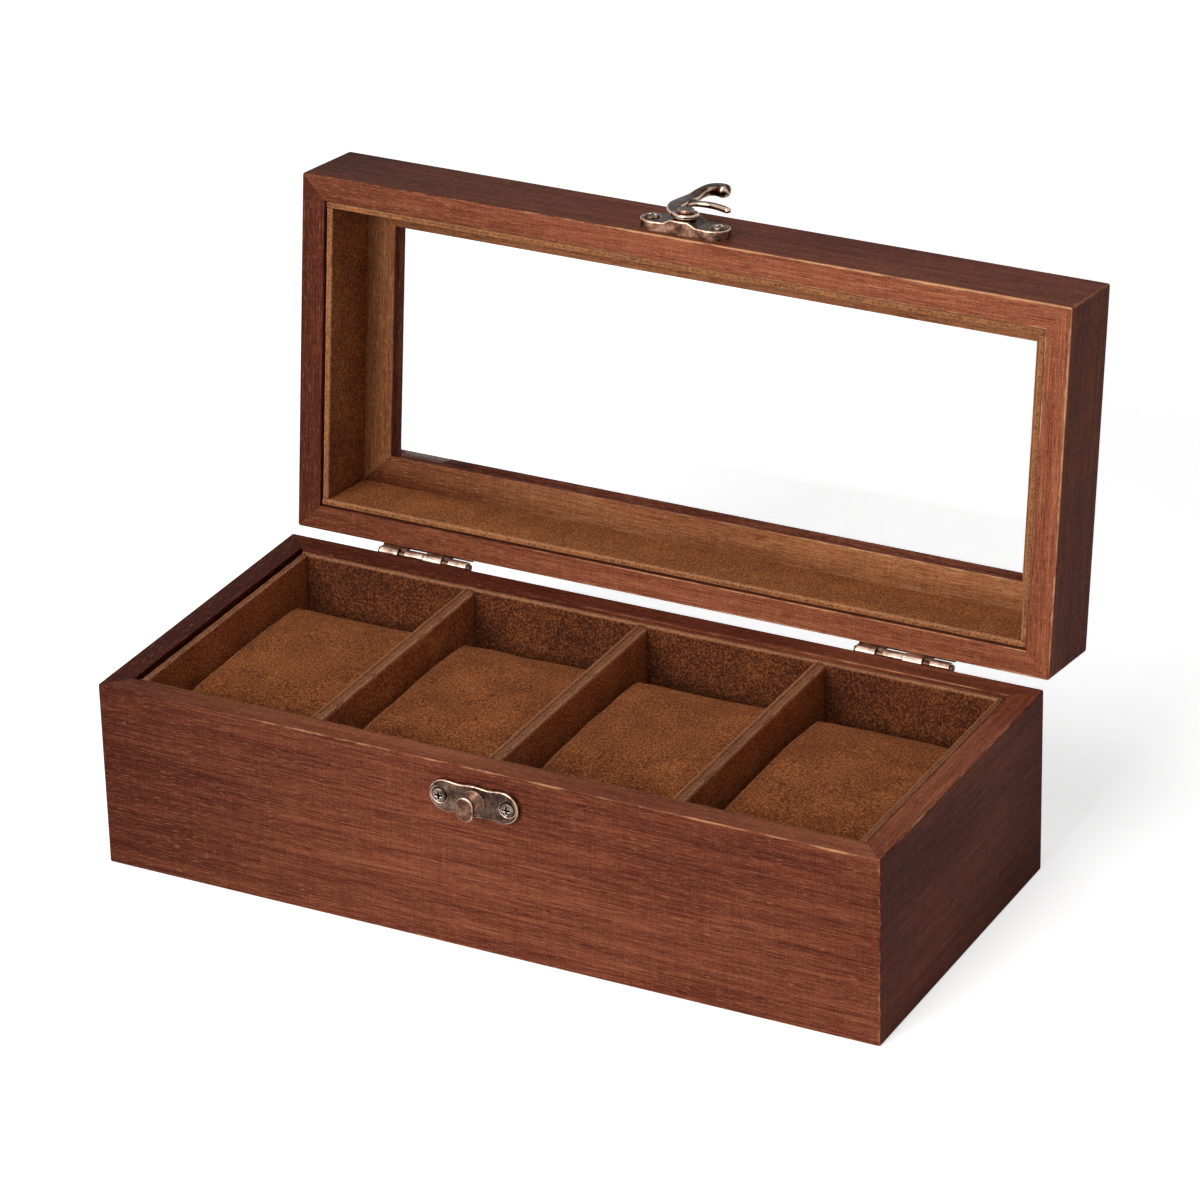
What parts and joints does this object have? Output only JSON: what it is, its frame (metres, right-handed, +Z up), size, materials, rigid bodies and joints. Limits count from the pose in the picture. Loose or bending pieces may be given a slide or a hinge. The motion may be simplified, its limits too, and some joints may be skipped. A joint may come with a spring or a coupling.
{
  "type": "watch box",
  "caption": "Wooden watch box with suede lining, dividers and loose watch pillows, and a glazed lid on stop hinges with a swinging hook latch.",
  "frame": {"origin": "centre of the underside of the base, on the surface that the box stands on", "axes": "+X to the right along the length, +Y to the hinged back, +Z up; the lid stands open"},
  "size_m": [0.26, 0.1751, 0.1854],
  "materials": {
    "stained_wood": "satin stained hardwood",
    "inner_frame_wood": "satin stained hardwood, lighter",
    "brown_suede": "brushed suede over board",
    "pillow_suede": "brushed suede over foam",
    "glass": "clear float glass",
    "antique_copper": "antiqued copper plate, bright worn edges",
    "copper_hinge": "copper plate, lightly aged",
    "antique_screw": "antiqued plated steel"
  },
  "bodies": {
    "base": {"base_front_wall": "stained_wood", "base_back_wall": "stained_wood", "base_left_wall": "stained_wood", "base_right_wall": "stained_wood", "base_bottom_panel": "stained_wood", "lining_floor": "brown_suede", "lining_front": "brown_suede", "lining_back": "brown_suede", "lining_left": "brown_suede", "lining_right": "brown_suede", "divider_left": "brown_suede", "divider_middle": "brown_suede", "divider_right": "brown_suede", "latch_stud_plate": "antique_copper", "latch_stud": "antique_copper", "latch_stud_screws": "antique_screw", "hinge_left_base_leaf": "copper_hinge", "hinge_left_pin": "copper_hinge", "hinge_left_base_screws": "antique_screw", "hinge_right_base_leaf": "copper_hinge", "hinge_right_pin": "copper_hinge", "hinge_right_base_screws": "antique_screw"},
    "lid": {"lid_front_wall": "stained_wood", "lid_back_wall": "stained_wood", "lid_left_wall": "stained_wood", "lid_right_wall": "stained_wood", "lid_rail_front": "inner_frame_wood", "lid_rail_back": "inner_frame_wood", "lid_rail_left": "inner_frame_wood", "lid_rail_right": "inner_frame_wood", "lid_glass": "glass", "lid_lining_front": "brown_suede", "lid_lining_back": "brown_suede", "lid_lining_left": "brown_suede", "lid_lining_right": "brown_suede", "hinge_left_lid_leaf": "copper_hinge", "hinge_right_lid_leaf": "copper_hinge", "hinge_left_lid_screws": "antique_screw", "hinge_right_lid_screws": "antique_screw", "latch_hook_plate": "antique_copper", "latch_hook_screws": "antique_screw", "latch_rivet": "antique_copper"},
    "hook": {"latch_hook": "antique_copper"},
    "pillow_1": {"watch_pillow_1": "pillow_suede"},
    "pillow_2": {"watch_pillow_2": "pillow_suede"},
    "pillow_3": {"watch_pillow_3": "pillow_suede"},
    "pillow_4": {"watch_pillow_4": "pillow_suede"}
  },
  "joints": [
    {"name": "lid_hinge", "type": "hinge", "parent": "base", "child": "lid", "pos_m": [0, 0.0606, 0.0603], "axis": [-1, 0, 0], "range_deg": [-96.6, 0]},
    {"name": "latch_swivel", "type": "hinge", "parent": "lid", "child": "hook", "pos_m": [0, 0.08228, 0.17764], "axis": [0, 0.1149, 0.9934], "range_deg": [-180, 75]},
    {"name": "pillow_1_lift", "type": "slide", "parent": "base", "child": "pillow_1", "axis": [0, 0, 1], "range_m": [0, 0.06]},
    {"name": "pillow_2_lift", "type": "slide", "parent": "base", "child": "pillow_2", "axis": [0, 0, 1], "range_m": [0, 0.06]},
    {"name": "pillow_3_lift", "type": "slide", "parent": "base", "child": "pillow_3", "axis": [0, 0, 1], "range_m": [0, 0.06]},
    {"name": "pillow_4_lift", "type": "slide", "parent": "base", "child": "pillow_4", "axis": [0, 0, 1], "range_m": [0, 0.06]}
  ]
}
